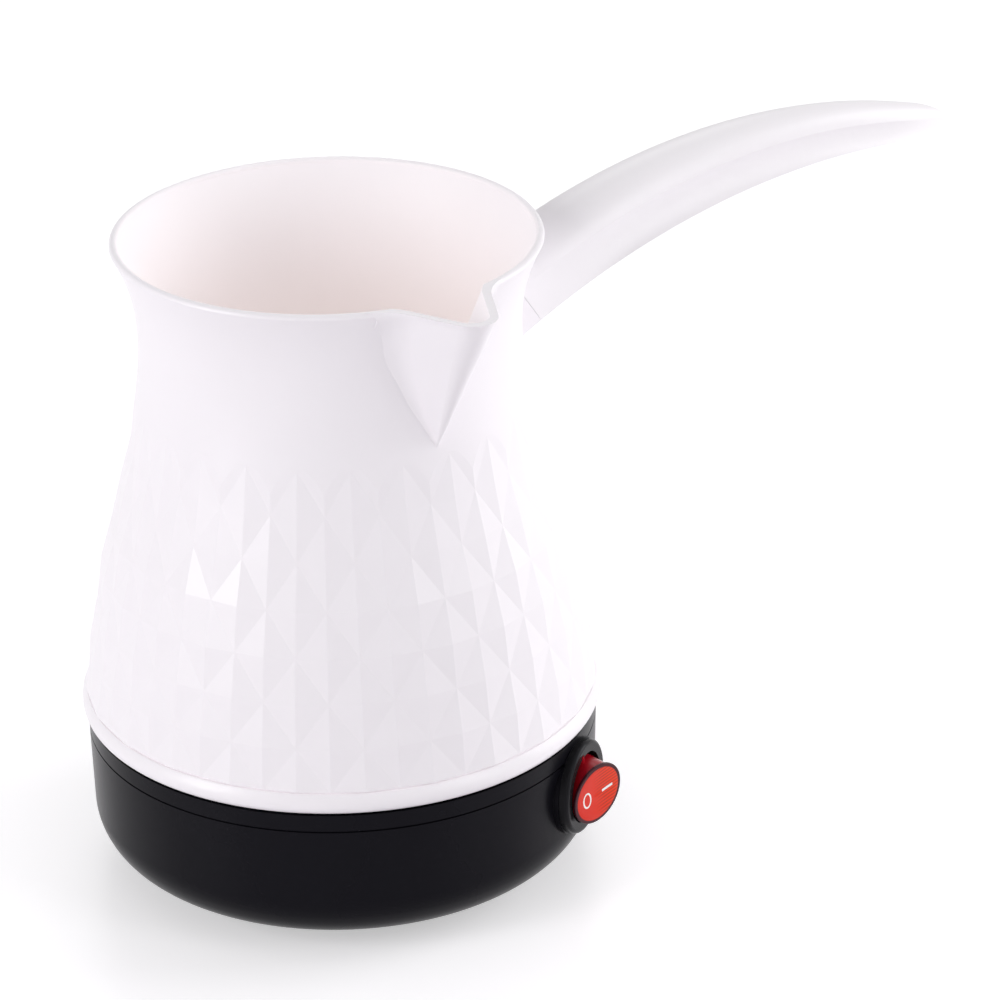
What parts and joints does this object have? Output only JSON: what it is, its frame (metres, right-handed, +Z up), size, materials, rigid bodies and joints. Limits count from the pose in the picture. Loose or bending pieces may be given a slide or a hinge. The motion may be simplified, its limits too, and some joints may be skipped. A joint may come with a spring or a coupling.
{
  "type": "electric turkish coffee maker",
  "caption": "Electric Turkish coffee pot: a white faceted pot with a pinched spout and a long curved handle, on a black heated base with a round rocker switch.",
  "frame": {"origin": "centre of the foot ring, on the surface that the appliance stands on", "axes": "+Z up along the pot's axis, +X along the handle, -Y towards the spout"},
  "size_m": [0.2316, 0.1225, 0.1528],
  "materials": {
    "white_plastic": "smooth moulded thermoplastic with a soft gloss, off-white",
    "black_plastic": "satin moulded thermoplastic, near black",
    "switch_black": "glossy black nylon",
    "rocker_red": "clear red polycarbonate that a lamp shines through, white marks",
    "stainless": "stainless steel sheet with a spun grain",
    "zinc_steel": "zinc-plated steel",
    "heater_steel": "steel sheath, dulled by annealing",
    "aluminium": "plain aluminium, machined",
    "silicone": "translucent silicone, off-white",
    "black_rubber": "matt black rubber",
    "phenolic": "dark brown phenolic moulding",
    "ceramic": "unglazed white ceramic",
    "brass": "stamped brass, tarnished",
    "lamp_glass": "clear glass envelope",
    "resistor_paint": "lacquered body, tan",
    "fuse_sleeve": "varnished glass-fibre sleeve",
    "red_lead": "silicone insulation, red-brown",
    "blue_lead": "silicone insulation, blue"
  },
  "bodies": {
    "appliance": {"pot_body": "white_plastic", "handle_shell": "white_plastic", "handle_cover": "white_plastic", "handle_screws": "zinc_steel", "heating_plate": "stainless", "plate_seal": "silicone", "clamp_ring": "zinc_steel", "clamp_screws": "zinc_steel", "heat_spreader": "aluminium", "heating_element": "heater_steel", "element_insulators": "ceramic", "element_terminals": "zinc_steel", "thermostat_cap": "aluminium", "thermostat_body": "phenolic", "thermostat_terminals": "brass", "thermostat_bracket": "zinc_steel", "thermostat_screws": "zinc_steel", "thermal_fuse": "fuse_sleeve", "earth_tab": "brass", "base_cup": "black_plastic", "base_screws": "zinc_steel", "foot_ring": "black_rubber", "cord_gland": "black_rubber", "cord_clamp": "black_plastic", "cord_clamp_screws": "zinc_steel", "switch_housing": "switch_black", "switch_terminals": "brass", "neon_lamp": "lamp_glass", "lamp_resistor": "resistor_paint", "lead_switch_thermostat": "red_lead", "lead_thermostat_element": "red_lead", "lead_fuse_element": "blue_lead"},
    "rocker": {"switch_rocker": "rocker_red"},
    "plunger": {"switch_plunger": "phenolic", "switch_spring": "zinc_steel"},
    "lever": {"contact_lever": "brass"}
  },
  "joints": [
    {"name": "rocker_tilt", "type": "hinge", "parent": "appliance", "child": "rocker", "pos_m": [0.03263, -0.04987, 0.0257], "axis": [-0.174, -0.1138, 0.9781], "range_deg": [0, 42]},
    {"name": "plunger_slide", "type": "slide", "parent": "rocker", "child": "plunger", "axis": [0.2179, -0.9731, -0.0745], "range_m": [0, 0.0006], "stiffness_N_per_m": 300, "springref_m": -0.002, "deforming": ["switch_spring"]},
    {"name": "lever_rock", "type": "hinge", "parent": "appliance", "child": "lever", "pos_m": [0.02757, -0.04213, 0.0257], "axis": [-0.174, -0.1138, 0.9781], "range_deg": [-20, 2]}
  ],
  "couplings": [
    {"joint": "lever_rock", "follows": "rocker_tilt", "ratio": -0.4285}
  ]
}
